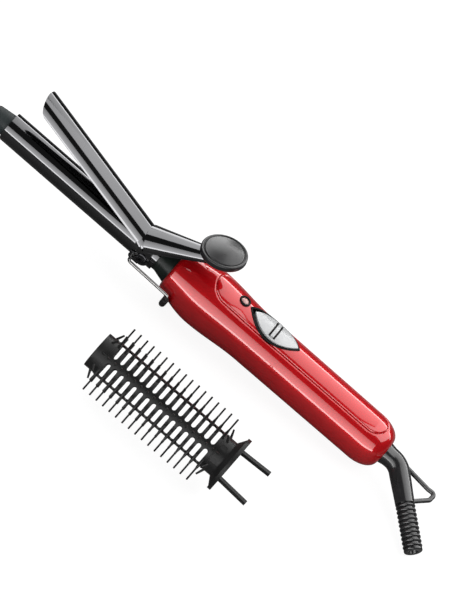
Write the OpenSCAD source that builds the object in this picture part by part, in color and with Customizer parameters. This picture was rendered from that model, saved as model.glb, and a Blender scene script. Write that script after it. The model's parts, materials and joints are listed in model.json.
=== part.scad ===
// Curling iron with a spring clamp, a folding wire stand and a slip-on brush.
// Millimetres. The iron is drawn along +X from the front of its barrel and is
// then laid on its stand's foot and on the rear of its handle; +Z is up.

/* [Barrel] */
// Outer diameter of the heated barrel
barrel_d = 19; // [17:0.5:21]
// Wall of the barrel tube
barrel_wall = 0.8; // [0.6:0.1:1.2]
// Length of the barrel tube
barrel_len = 118.5; // [116:0.5:120]
// Bare neck between the barrel and the handle
neck_len = 10.3; // [9:0.1:14]
// Diameter of the neck where it leaves the barrel
neck_d = 16.4; // [14:0.2:17]
// Diameter of the neck where it meets the handle
neck_rear_d = 21.6; // [20:0.2:24]

/* [Tip] */
// Length of the cool tip in front of the barrel
tip_len = 12.5; // [8:0.5:20]
// Diameter of the cool tip at the barrel
tip_d = 14.8; // [12:0.2:16]
// Diameter of the cool tip near its end
tip_front_d = 12.6; // [10:0.2:14]
// Depth of the tip's plug inside the barrel
tip_plug = 8; // [5:1:12]

/* [Heater] */
// Length of the aluminium heater body
heater_len = 62; // [40:1:80]
// Thickness of the ceramic heating plate
heater_plate = 2.6; // [2:0.2:4]
// Width of the ceramic heating plate
heater_w = 11; // [8:0.5:13]

/* [Clamp] */
// Thickness of the pressed sheet
sheet = 0.7; // [0.5:0.1:0.8]
// Gap left between the shut clamp and the barrel
clamp_gap = 0.3; // [0.2:0.05:0.5]
// Angle of the barrel that the clamp covers
clamp_wrap = 142; // [120:1:150]
// Radius of the rounded front end, in plan
clamp_nose_r = 10.7; // [10.5:0.1:14]
// Opening at rest, with the lever half pressed
clamp_open = 16.3; // [6:0.1:20]
// Distance of the hinge ahead of the barrel's rear end
pivot_back = 7.8; // [6.5:0.1:9.5]
// Drop of the hinge below the barrel's axis
pivot_drop = 0.5; // [0:0.1:1]
// Radius of the round end of each ear
ear_r = 5; // [4.5:0.1:5.2]
// Slope of the lever's crown when the clamp is shut
lever_slope = 43.3; // [40:0.1:46]
// Length of the lever's channel
lever_len = 40; // [36:0.5:42]
// Width of the channel under the thumb rest
lever_end_w = 12; // [10:0.5:14]
// Slope of the thumb rest's seat when the clamp is shut
seat_slope = 31.3; // [28:0.1:34]
// Length of the flat seat
seat_len = 16; // [14:0.5:18]

/* [Thumb rest] */
// Diameter of the thumb rest
thumb_d = 29; // [24:0.5:32]
// Height of the thumb rest at its rim
thumb_h = 4.6; // [3.6:0.1:6]
// Rise of its domed top
thumb_dome = 1.2; // [0.6:0.1:2]
// Radius of its rounded rim
thumb_edge = 1.6; // [1:0.1:1.8]

/* [Hinge] */
// Diameter of the shoulder screws
screw_d = 3; // [2.5:0.1:3.5]
// Diameter of the screw heads
screw_head_d = 7; // [6:0.2:8]
// Height of the screw heads
screw_head_h = 1; // [0.8:0.1:1.4]
// Running clearance on pins, in radius
pin_fit = 0.05; // [0.03:0.01:0.1]
// Thickness of the bracket's cheeks
cheek = 1.1; // [0.9:0.1:1.3]
// Side clearance between the cheeks and the ears
side_gap = 0.2; // [0.15:0.05:0.3]
// Diameter of the spring's wire
spring_wire = 0.9; // [0.7:0.1:1]
// Outer diameter of the spring's coil
spring_d = 6; // [5:0.1:6.2]
// Turns of the spring
spring_turns = 6; // [4:1:8]

/* [Handle] */
// Length of the handle
handle_len = 166.7; // [150:0.5:190]
// Diameter at the front shoulder
shoulder_d = 29.2; // [26:0.2:32]
// Length of the rounded front shoulder
shoulder_len = 3; // [2:0.5:5]
// Largest diameter, at the swell
swell_d = 38.4; // [36:0.2:40]
// Distance of the swell from the handle's front
swell_at = 26.2; // [24:0.2:30]
// Distance at which the swell has run out
grip_at = 64; // [55:1:70]
// Diameter of the grip behind the swell
grip_d = 33.5; // [32:0.1:35]
// Diameter at the grip's rear
rear_d = 32.6; // [31:0.1:34]
// Length of the rounded rear end
round_len = 15.2; // [12:0.2:20]
// Diameter of the opening at the tail
tail_d = 15.6; // [15.2:0.2:18]
// Wall of the handle's shells
shell = 2; // [1.6:0.1:2.6]
// Hair gap between the two shells
seam_gap = 0.3; // [0.2:0.05:0.5]
// Angle of the seam above the handle's side
seam_angle = 55; // [50:1:60]
// Front end of the top shell, from the handle's front
cover_from = 24; // [20:0.5:30]
// Distance of the top shell's rear end from the handle's tail
cover_back = 8.7; // [7:0.5:26]

/* [Switch and lamp] */
// Length of the leaf-shaped slider
leaf_len = 33; // [30:0.5:34]
// Width of the slider
leaf_w = 16; // [13:0.2:16.5]
// Distance of the slider's middle from the handle's front
leaf_at = 70.2; // [69.8:0.2:80]
// Travel of the slider
leaf_travel = 2.4; // [1.8:0.2:3]
// Height of the slider above the handle
leaf_proud = 0.7; // [0.4:0.1:1.2]
// Clearance around the slider
leaf_gap = 0.4; // [0.3:0.05:0.6]
// Wall of the switch's black well
well_wall = 0.9; // [0.7:0.1:1.2]
// Depth of the well under the handle's surface
well_depth = 4.5; // [4:0.1:6]
// Distance of the lamp from the handle's front
lamp_at = 44.8; // [41:0.1:46]
// Outer diameter of the lamp's ring
lamp_d = 7.5; // [6:0.1:8]
// Diameter of the lamp's lens
lens_d = 5.2; // [4:0.1:5.6]

/* [Stand] */
// Diameter of the stand's wire
wire_d = 2; // [1.8:0.1:2.2]
// Distance of the stand's hinge ahead of the clamp's hinge
stand_ahead = 5.2; // [4.9:0.1:5.5]
// Drop of the stand's hinge below the barrel's axis
stand_drop = 4.5; // [4.4:0.1:5]
// Half width of the stand at its hinge
stand_hinge_w = 15.5; // [15:0.1:17]
// Distance of the foot from the handle's front
foot_at = 8.7; // [8:0.1:10]
// Radius of the foot's bend around the handle
foot_r = 20; // [19.9:0.1:21]
// Half angle of the foot's flat part
foot_flat_half = 18; // [14:0.5:18.5]
// Diameter of the rubber sleeve
sleeve_d = 4.2; // [3.8:0.1:4.4]
// Depth of the flat on the sleeve's underside
sleeve_flat = 0.4; // [0.2:0.05:0.6]

/* [Cord guard] */
// Diameter of the guard at the handle
guard_d = 14.4; // [13:0.2:15]
// Diameter of the guard at its bend
guard_bend_d = 12.8; // [12:0.2:13]
// Diameter over the ribs
rib_d = 11.8; // [11:0.1:12.6]
// Diameter between the ribs
rib_root_d = 9.4; // [8.6:0.1:10]
// Distance from rib to rib
rib_pitch = 2.8; // [2.4:0.1:3.2]
// Number of ribs
ribs = 10; // [6:1:11]
// Angle of the guard's bend
guard_bend = 47; // [40:1:50]
// Droop of the bent part towards the table
guard_droop = 11; // [6:1:11]
// Radius of the bend's centre line
guard_bend_r = 12; // [10:0.5:14]
// Distance from the handle to the corner of the bend
guard_corner = 10.5; // [10:0.5:14]
// Smooth length between the bend and the ribs
guard_smooth = 21.5; // [18:0.5:26]
// Diameter of the cord that the guard takes
cord_d = 5.6; // [4.5:0.1:6.2]
// Depth of the cord's bore
cord_depth = 24; // [15:1:30]
// Thickness of the hanging loop
loop_d = 2.9; // [2.4:0.1:3.2]
// Reach of the hanging loop past the corner
loop_reach = 28; // [26:0.5:32]

/* [Brush] */
// Inner diameter of the brush's front ring
brush_bore = 21.4; // [21.2:0.1:23]
// Outer diameter of the front ring
brush_ring_d = 23.2; // [22.8:0.1:25]
// Length of the plain front ring
brush_ring_len = 7.6; // [6:0.2:10]
// Outer diameter of the slotted barrel
brush_cage_d = 24.2; // [24:0.1:26]
// Wall of the slotted barrel
brush_wall = 1.2; // [1:0.1:1.4]
// Rings of bristles
brush_rings = 17; // [8:1:18]
// Distance from ring to ring
brush_pitch = 4.9; // [4.6:0.1:5.4]
// Width of each slot along the brush
slot_w = 2.8; // [2.2:0.1:3.2]
// Angle between the ends of a slot
slot_angle = 62; // [50:1:66]
// Diameter over the bristles' tips
bristle_tip_d = 45.6; // [40:0.5:50]
// Diameter of a bristle
bristle_d = 1.1; // [0.9:0.1:1.4]
// Diameter of a bristle's flared foot
bristle_foot_d = 2; // [1.6:0.1:2.1]
// Length of the collar behind the slots
brush_hub_len = 11.7; // [10:0.5:14]
// Diameter of the rear flange
flange_d = 36.8; // [32:0.2:40]
// Thickness of the flange's rim
flange_rim = 2.4; // [1.8:0.1:3]
// Length of the two locking prongs
prong_len = 22; // [16:0.5:24]
// Width of a prong
prong_w = 2.4; // [1.8:0.1:3.2]
// Turn of the brush on the table
brush_yaw = -2; // [-15:1:15]
// Place of the brush's middle on the table, along X
brush_x = 40; // [20:1:60]
// Place of the brush's middle on the table, towards the front
brush_y = -98; // [-120:1:-75]

/* [Hidden] */
$fn = 48;
eps = 0.01;

br = barrel_d/2;
handle_x = barrel_len + neck_len;
handle_end = handle_x + handle_len;
pivot_x = barrel_len - pivot_back;
stand_x = pivot_x - stand_ahead;
cover_to = handle_len - cover_back;
pivot = [pivot_x, 0, -pivot_drop];
fit = 0.05;

// ---- how the iron lies ----------------------------------------------------
foot_x = handle_x + foot_at;
foot_chord = foot_r*cos(foot_flat_half);
foot_drop = foot_chord + sleeve_d/2 - sleeve_flat;
rear_x = handle_end - round_len;
pitch = atan((foot_drop - rear_d/2)/(rear_x - foot_x));
module laid() {
    rotate([0, pitch, 0]) translate([-foot_x, 0, foot_drop]) children();
}

// ---- the clamp's own frame ------------------------------------------------
module opened() {
    translate(pivot) rotate([0, clamp_open, 0]) translate(-pivot) children();
}
clamp_in = br + clamp_gap;
clamp_out = clamp_in + sheet;
cheek_y = br + cheek - 0.1;
ear_y = cheek_y + side_gap;
bow_r = ear_y + sheet;
neck_from = pivot_x - 9.7;
neck_to = pivot_x - 5.2;
crown = [pivot_x - 11.2, clamp_in + sheet - 0.1];
taper = atan((bow_r - lever_end_w/2)/lever_len);
lever_axis = lever_slope + taper;
lever_at = crown + bow_r*[sin(lever_axis), -cos(lever_axis)];
lever_top = crown + lever_len/cos(taper)*[cos(lever_slope), sin(lever_slope)];
seat_mid = lever_top + seat_len/2*[cos(seat_slope), sin(seat_slope)]
    + [-1.6, -1];

// ---- the handle's outline ---------------------------------------------------
// Radius at the distance x from the handle's front: a rounded shoulder, a
// swell under the thumb rest, a slim grip and a rounded rear end.
function handle_r(x) =
    x < shoulder_len ? neck_rear_d/2 + (shoulder_d - neck_rear_d)/2
        *sqrt(max(0, 1 - pow(1 - x/shoulder_len, 2))) :
    x < swell_at ? shoulder_d/2 + (swell_d - shoulder_d)/2
        *sin(90*(x - shoulder_len)/(swell_at - shoulder_len)) :
    x < grip_at ? grip_d/2 + (swell_d - grip_d)/2
        *(1 + cos(180*(x - swell_at)/(grip_at - swell_at)))/2 :
    x < handle_len - round_len ? grip_d/2 + (rear_d - grip_d)/2
        *(x - grip_at)/(handle_len - round_len - grip_at) :
    tail_d/2 + (rear_d - tail_d)/2
        *sqrt(max(0, 1 - pow((x - handle_len + round_len)/round_len, 2)));
end_wall = 4;
function spread(a, b, n) = [for (i = [0:n]) a + (b - a)*i/n];
stations = concat(
    [for (i = [0:3]) shoulder_len*(1 - cos(30*i))],
    [for (x = spread(shoulder_len, swell_at, 7)) if (x > shoulder_len) x],
    [for (x = spread(swell_at, grip_at, 8)) if (x > swell_at) x],
    [handle_len - round_len],
    [for (i = [1:6]) handle_len - round_len + round_len*sin(15*i)]);
module handle_solid(inset = 0, from = 0, to = handle_len) {
    xs = concat([from], [for (x = stations) if (x > from + 0.2 && x < to - 0.2) x],
        [to]);
    translate([handle_x, 0, 0]) rotate([0, 90, 0]) rotate_extrude($fn = 96)
        polygon(concat([[0, from]], [for (x = xs) [handle_r(x) - inset, x]],
            [[0, to]]));
}
// Plan outline of the top shell, grown by g.
module cover_plan(g) {
    w0 = handle_r(cover_from)*cos(seam_angle);
    w1 = handle_r(cover_to)*cos(seam_angle);
    xs = concat([cover_from + w0], [for (x = stations)
        if (x > cover_from + w0 + 0.5 && x < cover_to - w1 - 0.5) x],
        [cover_to - w1]);
    side = [for (x = xs) [handle_x + x, handle_r(x)*cos(seam_angle) + g]];
    polygon(concat(side, [for (i = [len(side) - 1:-1:0]) [side[i][0], -side[i][1]]]));
    translate([handle_x + cover_from + w0, 0]) circle(side[0][1]);
    translate([handle_x + cover_to - w1, 0]) circle(side[len(side) - 1][1]);
}
// Leaf outline: where two equal circles cross.
module leaf(l, w) {
    r = (l*l + w*w)/(4*w);
    intersection() {
        translate([0, r - w/2]) circle(r, $fn = 96);
        translate([0, w/2 - r]) circle(r, $fn = 96);
    }
}
leaf_z = handle_r(leaf_at);
well_len = leaf_len + leaf_travel + 2*leaf_gap;
well_w = leaf_w + 2*leaf_gap;
well_floor = leaf_z - well_depth;
tongue = 3.2;
lamp_z = handle_r(lamp_at);

// ---- sweeping a round section along points -----------------------------------
function unit(v) = v/norm(v);
function tangents(p) = [for (i = [0:len(p) - 1])
    unit(p[min(i + 1, len(p) - 1)] - p[max(i - 1, 0)])];
// Each ring's first direction is the last one's, made square to its tangent.
function carried(t, n, i = 0) = i == len(t) ? [] :
    let (m = unit(n - (n*t[i])*t[i])) concat([m], carried(t, m, i + 1));
// r is one radius or a list with one for each point.
module sweep(p, r, sides, start) {
    t = tangents(p);
    n = carried(t, start);
    pts = [for (i = [0:len(p) - 1], k = [0:sides - 1])
        p[i] + (is_list(r) ? r[i] : r)
            *(cos(360*k/sides)*n[i] + sin(360*k/sides)*cross(t[i], n[i]))];
    last = (len(p) - 1)*sides;
    polyhedron(pts, concat(
        [[for (k = [0:sides - 1]) k]],
        [for (i = [0:len(p) - 2], k = [0:sides - 1]) let (j = (k + 1)%sides)
            [i*sides + k, (i + 1)*sides + k, (i + 1)*sides + j, i*sides + j]],
        [[for (k = [sides - 1:-1:0]) last + k]]));
}

// Arc of radius r that rounds the corner b between a and c.
function rounded(a, b, c, r, n = 4) =
    let (u = unit(a - b), v = unit(c - b), half = acos(u*v)/2, m = unit(u + v),
         o = b + m*r/sin(half), p = b + u*r/tan(half) - o, w = unit(v - (v*m)*m))
    [for (i = [0:n]) let (q = (90 - half)*(2*i/n - 1)) o + r*(w*sin(q) - m*cos(q))];

module along_x(x0, x1, r0, r1, fn = 64) {
    translate([x0, 0, 0]) rotate([0, 90, 0]) cylinder(h = x1 - x0, r1 = r0, r2 = r1, $fn = fn);
}
module pin_y(p, y0, y1, r) {
    translate([p[0], y1, p[2]]) rotate([90, 0, 0]) cylinder(h = y1 - y0, r = r, $fn = 40);
}

// ---- barrel -------------------------------------------------------------------
module barrel_tube() color([0.13, 0.13, 0.14]) laid() difference() {
    along_x(0, barrel_len, br, br, 96);
    along_x(-1, barrel_len + 1, br - barrel_wall, br - barrel_wall, 96);
}

module tip_cap() color([0.2, 0.21, 0.22]) laid() rotate([0, 90, 0])
    rotate_extrude($fn = 72) polygon(concat([[0, -tip_len]],
        [for (a = [90:-15:0]) [tip_front_d/2 - 2.4 + 2.4*cos(a), -tip_len + 2.4 - 2.4*sin(a)]],
        [[tip_d/2, -0.6], [tip_d/2, 0], [br - barrel_wall - fit, 0.5],
         [br - barrel_wall - fit, tip_plug], [tip_d/2 - 2, tip_plug],
         [tip_d/2 - 2, -tip_len + 5], [0, -tip_len + 3.5]]));

module heater_core() color([0.75, 0.76, 0.78]) laid()
    translate([(barrel_len - heater_len)/2 - 6, 0, 0]) difference() {
        along_x(0, heater_len, br - barrel_wall - fit, br - barrel_wall - fit);
        translate([-1, -heater_w/2 - fit, -heater_plate/2 - fit])
            cube([heater_len + 2, heater_w + 2*fit, heater_plate + 2*fit]);
        for (s = [-1, 1]) translate([0, 0, s*(br - barrel_wall)])
            along_x(-1, heater_len + 1, 3, 3, 32);
    }

module heater_plate_ceramic() color([0.93, 0.93, 0.9]) laid()
    translate([(barrel_len - heater_len)/2 - 4, -heater_w/2, -heater_plate/2])
        cube([heater_len - 4, heater_w, heater_plate]);

module neck_collar() color([0.07, 0.09, 0.08]) laid() difference() {
    union() {
        along_x(barrel_len - 9, barrel_len, br - barrel_wall - fit, br - barrel_wall - fit);
        along_x(barrel_len, barrel_len + 2.4, neck_d/2, neck_d/2);
        along_x(barrel_len + 2.4, handle_x, neck_d/2, neck_rear_d/2 - 0.4);
        along_x(handle_x, handle_x + shell + 4, neck_d/2 + 0.6, neck_d/2 + 0.6);
        along_x(handle_x + shell + fit, handle_x + shell + 4, neck_d/2 + 2.4, neck_d/2 + 2.4);
    }
    along_x(barrel_len - 10, handle_x + shell + 5, 4.5, 4.5, 32);
}

// ---- hinge ----------------------------------------------------------------------
stand_pivot = [stand_x, 0, -stand_drop];
lug_r = wire_d/2 + 1.6;
module hinge_bracket() color([0.16, 0.16, 0.17]) laid() difference() {
    union() {
        // saddle under the barrel
        difference() {
            along_x(stand_x - lug_r, pivot_x + 4, br + 0.8, br + 0.8);
            along_x(stand_x - lug_r - 1, pivot_x + 5, br + 0.02, br + 0.02);
            translate([stand_x - 20, -20, -stand_drop + 2]) cube([50, 40, 40]);
        }
        // a flat cheek on each side carries both hinges
        for (s = [-1, 1]) difference() {
            union() {
                pin_y([pivot[0], 0, pivot[2]], s > 0 ? br - 1.6 : -cheek_y,
                    s > 0 ? cheek_y : 1.6 - br, 4);
                pin_y(stand_pivot, s > 0 ? br - 1.6 : -cheek_y,
                    s > 0 ? cheek_y : 1.6 - br, lug_r);
                translate([stand_x, s > 0 ? br - 1.6 : -cheek_y, -stand_drop - lug_r + 0.2])
                    cube([pivot_x - stand_x, cheek_y - br + 1.6, lug_r + 1.2]);
            }
            along_x(0, barrel_len + 5, br + 0.02, br + 0.02, 96);
        }
    }
    for (s = [-1, 1]) {
        pin_y(stand_pivot, s > 0 ? br - 2 : -br - 3, s > 0 ? br + 3 : 2 - br,
            wire_d/2 + pin_fit);
        pin_y(pivot, s > 0 ? br - 2 : -br - 3, s > 0 ? br + 3 : 2 - br, screw_d/2);
    }
}

head_y = bow_r + 0.1;
module pivot_screws() color([0.2, 0.2, 0.21]) laid() for (s = [-1, 1]) {
    translate(pivot) rotate([-90*s, 0, 0]) difference() {
        union() {
            translate([0, 0, br + 0.05]) cylinder(h = head_y - br, d = screw_d, $fn = 40);
            translate([0, 0, head_y]) cylinder(h = screw_head_h - 0.3, d = screw_head_d, $fn = 48);
            translate([0, 0, head_y + screw_head_h - 0.3])
                cylinder(h = 0.3, d1 = screw_head_d, d2 = screw_head_d - 0.8, $fn = 48);
        }
        translate([0, 0, head_y + screw_head_h - 0.6]) cylinder(h = 1, d = 3.2, $fn = 6);
    }
}

// Tongue, neck, ears and lever are one pressing.
// Plan of the tongue's nose: blunt in the middle, well rounded at the corners.
nose = [for (i = [-20:20]) let (q = i*4.5, w = abs(sin(q)))
    [clamp_nose_r*(1 - pow(abs(cos(q)), 0.8)), (q < 0 ? -1 : 1)*(clamp_out + 0.2)*pow(w, 0.8)]];
module clamp_shell(x0, x1, r0, r1, wrap) {
    intersection() {
        difference() {
            along_x(x0, x1, r0, r1, 96);
            along_x(x0 - 0.001, x1 + 0.001, r0 - sheet, r1 - sheet, 96);
        }
        rotate([0, 90, 0]) linear_extrude(height = 400, center = true)
            polygon([[0, 0], for (a = [-wrap/2:wrap/8:wrap/2]) 30*[-cos(a), sin(a)]]);
    }
}
module lever_frame() {
    translate([lever_at[0], 0, lever_at[1]]) rotate([0, 90 - lever_axis, 0]) children();
}
ear_top = lever_len*0.42;
module clamp() color([0.12, 0.12, 0.13]) laid() opened() {
    difference() {
        union() {
            // tongue with its rounded nose
            intersection() {
                clamp_shell(0, neck_from + 0.5, clamp_out, clamp_out, clamp_wrap);
                linear_extrude(height = 60, center = true)
                    polygon(concat(nose, [for (i = [len(nose) - 1:-1:0])
                        [2*clamp_nose_r + neck_from - nose[i][0], nose[i][1]]]));
            }
            // neck, swelling from the tongue to the ears
            clamp_shell(neck_from, neck_to - 1.4, clamp_out, bow_r, 172);
            clamp_shell(neck_to - 1.4, neck_to + 0.4, bow_r, bow_r, 178);
            // channel of the lever, a half cone
            difference() {
                lever_frame() {
                    difference() {
                        cylinder(h = lever_len, r1 = bow_r, r2 = lever_end_w/2, $fn = 96);
                        translate([0, 0, -0.001]) cylinder(h = lever_len + 0.002,
                            r1 = bow_r - sheet, r2 = lever_end_w/2 - sheet, $fn = 96);
                        translate([0, -30, -1]) cube([60, 60, lever_len + 2]);
                    }
                }
            }
            // ears
            for (s = [-1, 1]) {
                difference() {
                    union() {
                        pin_y(pivot, s > 0 ? ear_y : -bow_r, s > 0 ? bow_r : -ear_y, ear_r);
                        translate([0, s > 0 ? bow_r : -ear_y, 0]) rotate([90, 0, 0])
                            linear_extrude(height = sheet) polygon([
                                [pivot[0] - ear_r*0.94, pivot[2] - ear_r*0.34],
                                [neck_from + 3, 3.4],
                                [neck_to + 0.4, 4],
                                [lever_at[0], lever_at[1] + 0.6],
                                [lever_at[0] + ear_top*0.34*cos(lever_axis),
                                 lever_at[1] + ear_top*0.34*sin(lever_axis)],
                                [pivot[0] + ear_r*0.98, pivot[2] + ear_r*0.2],
                                [pivot[0] + ear_r*0.4, pivot[2] - ear_r*0.9]]);
                    }
                }
            }
            // seat under the thumb rest
            translate([lever_top[0], 0, lever_top[1]]) rotate([0, -seat_slope, 0]) {
                translate([seat_len/2 - 0.8, 0, -sheet])
                    cylinder(h = sheet, d = lever_end_w, $fn = 64);
                translate([-1.6, -lever_end_w/2 + 1.4, -sheet])
                    cube([seat_len/2 + 0.8, lever_end_w - 2.8, sheet]);
            }
        }
        for (s = [-1, 1]) pin_y(pivot, s > 0 ? ear_y - 0.5 : -bow_r - 0.5,
            s > 0 ? bow_r + 0.5 : 0.5 - ear_y, screw_d/2 + pin_fit);
        translate([lever_top[0], 0, lever_top[1]]) rotate([0, -seat_slope, 0])
            translate([seat_len/2 - 0.8, 0, -3]) cylinder(h = 6, d = 3 + 2*fit, $fn = 40);
    }
}

// The thumb rest's own frame has its seat at z = 0.
module on_seat() {
    translate([lever_top[0], 0, lever_top[1]]) rotate([0, -seat_slope, 0])
        translate([seat_len/2 - 0.8, 0, 0]) children();
}
module thumb_rest() color([0.1, 0.1, 0.1]) laid() opened() on_seat()
    translate([0, 0, fit]) difference() {
        rotate_extrude($fn = 96) polygon(concat(
            [[0, 0], [thumb_d/2 - 1.2, 0], [thumb_d/2, 1.2]],
            [for (a = [0:15:75]) [thumb_d/2 - thumb_edge*(1 - cos(a)),
                thumb_h - thumb_edge*(1 - sin(a))]],
            [for (i = [4:-1:0]) let (r = (thumb_d/2 - thumb_edge)*i/4)
                [r, thumb_h + thumb_dome*(1 - pow(i/4, 2))]]));
        translate([0, 0, -1]) difference() {
            cylinder(h = 3, d = thumb_d - 5, $fn = 72);
            cylinder(h = 4, d = lever_end_w + 1, $fn = 48);
        }
        translate([0, 0, -1]) cylinder(h = 4, d = 3, $fn = 32);
    }
module thumb_rivet() color([0.6, 0.6, 0.62]) laid() opened() on_seat() {
    translate([0, 0, -sheet - 1]) cylinder(h = 1, d1 = 4.4, d2 = 5.4, $fn = 40);
    translate([0, 0, -sheet - 0.5]) cylinder(h = sheet + 3.2, d = 3 - 2*fit, $fn = 32);
}

// Torsion spring on the barrel, under the lever: one leg lies along the barrel
// and the other bears on the lever's crown.
spring_r = (spring_d - spring_wire)/2;
spring_c = [pivot_x + 4.3, 0, br + 0.05 + spring_d/2];
spring_pitch = spring_wire*1.12;
spring_w = spring_pitch*spring_turns;
// A point of the shut clamp, in X and Z, where it is at rest.
function at_rest(p) = let (v = p - [pivot[0], pivot[2]])
    [pivot[0] + v[0]*cos(clamp_open) + v[1]*sin(clamp_open),
     pivot[2] - v[0]*sin(clamp_open) + v[1]*cos(clamp_open)];
// Where the upper leg bears on the crown, and the tangent to it from the coil.
spring_bears = 24.5;
bear_r = bow_r - sheet - (bow_r - lever_end_w/2)*spring_bears/lever_len;
leg_side = spring_w/2 + spring_wire/2;
leg_gap = 0.15 + bear_r - sqrt(bear_r*bear_r - leg_side*leg_side);
bearing = at_rest(crown + spring_bears*[cos(lever_slope), sin(lever_slope)]
    + (sheet + spring_wire/2 + leg_gap)*[sin(lever_slope), -cos(lever_slope)])
    - [spring_c[0], spring_c[2]];
leg_len = sqrt(bearing*bearing - spring_r*spring_r);
leg_turn = atan2(bearing[1], bearing[0]) + atan2(leg_len, spring_r);
module clamp_spring() color([0.55, 0.55, 0.57]) laid() {
    part_turn = (-leg_turn - 90)/360;
    turns = spring_turns + part_turn - floor(part_turn);
    n = ceil(turns*10);
    coil = [for (i = [0:n]) let (a = -90 - 360*turns*i/n)
        spring_c + [spring_r*cos(a), -spring_w/2 + spring_w*i/n, spring_r*sin(a)]];
    a1 = -90 - 360*turns;
    sweep(concat(
        [spring_c + [-7.4, -spring_w/2, -spring_r], spring_c + [-2, -spring_w/2, -spring_r]],
        coil,
        [coil[n] + [sin(a1), 0, -cos(a1)]*leg_len*0.5,
         coil[n] + [sin(a1), 0, -cos(a1)]*leg_len]),
        spring_wire/2, 8, [0, 1, 0]);
}

// ---- handle ------------------------------------------------------------------------
module handle_hollow() difference() {
    handle_solid();
    handle_solid(shell, shell, handle_len - end_wall);
}
module handle_body() color([0.72, 0.04, 0.1]) laid() difference() {
    union() {
        difference() {
            handle_hollow();
            linear_extrude(height = 40) cover_plan(seam_gap/2);
        }
        // ledge that carries the top shell, and two screw posts
        difference() {
            union() {
                intersection() {
                    handle_solid(shell + fit);
                    linear_extrude(height = 40) difference() {
                        cover_plan(1.2);
                        cover_plan(-1.4);
                    }
                }
                intersection() {
                    handle_solid(shell - 0.3);
                    linear_extrude(height = 40) difference() {
                        cover_plan(1.2);
                        cover_plan(seam_gap/2);
                    }
                }
            }
            handle_solid(shell + 1.8);
        }
        for (x = [cover_from + 12, cover_to - 14]) intersection() {
            handle_solid(shell - 0.2);
            translate([handle_x + x, 0, -30]) cylinder(h = 38, d = 6, $fn = 32);
        }
    }
    well_seat();
    // mouth for the neck's collar and hole for the cord guard
    along_x(handle_x - 1, handle_x + shell + 0.5, neck_d/2 + 0.6 + fit, neck_d/2 + 0.6 + fit);
    along_x(handle_end - 8, handle_end + 1, guard_d/2 + 0.1, guard_d/2 + 0.1);
    for (x = [cover_from + 12, cover_to - 14]) {
        translate([handle_x + x, 0, -40]) cylinder(h = 50, d = 2.6, $fn = 32);
        translate([handle_x + x, 0, -handle_r(x) - 1]) cylinder(h = 4, d = 5.2, $fn = 32);
    }
}

// Cut that the switch's well drops into.
module well_seat() translate([handle_x + leaf_at - leaf_travel/2, 0,
    well_floor - well_wall - fit]) linear_extrude(height = 40)
        leaf(well_len + 2*(well_wall + fit), well_w + 2*(well_wall + fit));
module handle_cover() color([0.78, 0.05, 0.11]) laid() difference() {
    union() {
        intersection() {
            handle_hollow();
            linear_extrude(height = 40) cover_plan(-seam_gap/2);
        }
        for (x = [cover_from + 12, cover_to - 14]) intersection() {
            handle_solid(shell - 0.2);
            difference() {
                translate([handle_x + x, 0, 8 + fit]) cylinder(h = 30, d = 6, $fn = 32);
                translate([handle_x + x, 0, 7]) cylinder(h = 5, d = 2, $fn = 32);
            }
        }
    }
    well_seat();
    translate([handle_x + lamp_at, 0, 0]) cylinder(h = 40, d = lamp_d + 2*fit, $fn = 48);
}

module cover_screws() color([0.7, 0.7, 0.72]) laid()
    for (x = [cover_from + 12, cover_to - 14]) translate([handle_x + x, 0, 0]) {
        translate([0, 0, -handle_r(x) + 1.2]) difference() {
            cylinder(h = 1.7, d = 4.8, $fn = 40);
            translate([0, 0, -1]) for (a = [0, 90]) rotate(a)
                cube([3, 0.7, 3.4], center = true);
        }
        translate([0, 0, -handle_r(x) + 2.8]) cylinder(h = handle_r(x) + 8, d = 1.9, $fn = 24);
    }

// ---- switch and lamp ------------------------------------------------------------------
module switch_well() color([0.04, 0.04, 0.04]) laid()
    translate([handle_x + leaf_at - leaf_travel/2, 0, 0]) difference() {
        intersection() {
            translate([0, 0, well_floor - well_wall]) linear_extrude(height = 20)
                leaf(well_len + 2*well_wall, well_w + 2*well_wall);
            translate([-leaf_at + leaf_travel/2 - handle_x, 0, 0]) handle_solid(-0.15);
        }
        translate([0, 0, well_floor]) linear_extrude(height = 20) leaf(well_len, well_w);
        // slot in the floor for the slider's tongue
        translate([0, 0, well_floor - 3]) linear_extrude(height = 5)
            square([6 + leaf_travel + 1, 3.6], center = true);
    }

module switch_slider() color([0.86, 0.87, 0.88]) laid() translate([handle_x + leaf_at, 0, 0]) {
    intersection() {
        translate([0, 0, well_floor + 0.2]) linear_extrude(height = 12) leaf(leaf_len, leaf_w);
        union() {
            along_x(-leaf_len, leaf_len, leaf_z + leaf_proud, leaf_z + leaf_proud, 96);
        }
    }
    // raised thumb rib across the middle
    intersection() {
        translate([0, 0, leaf_z - 2]) linear_extrude(height = 8)
            square([2.2, leaf_w - 2.4], center = true);
        along_x(-4, 4, leaf_z + leaf_proud + 0.9, leaf_z + leaf_proud + 0.9, 96);
    }
    // tongue down to the contacts
    translate([0, 0, well_floor - tongue]) linear_extrude(height = tongue + 0.8)
        square([5.4, 3], center = true);
}

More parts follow.
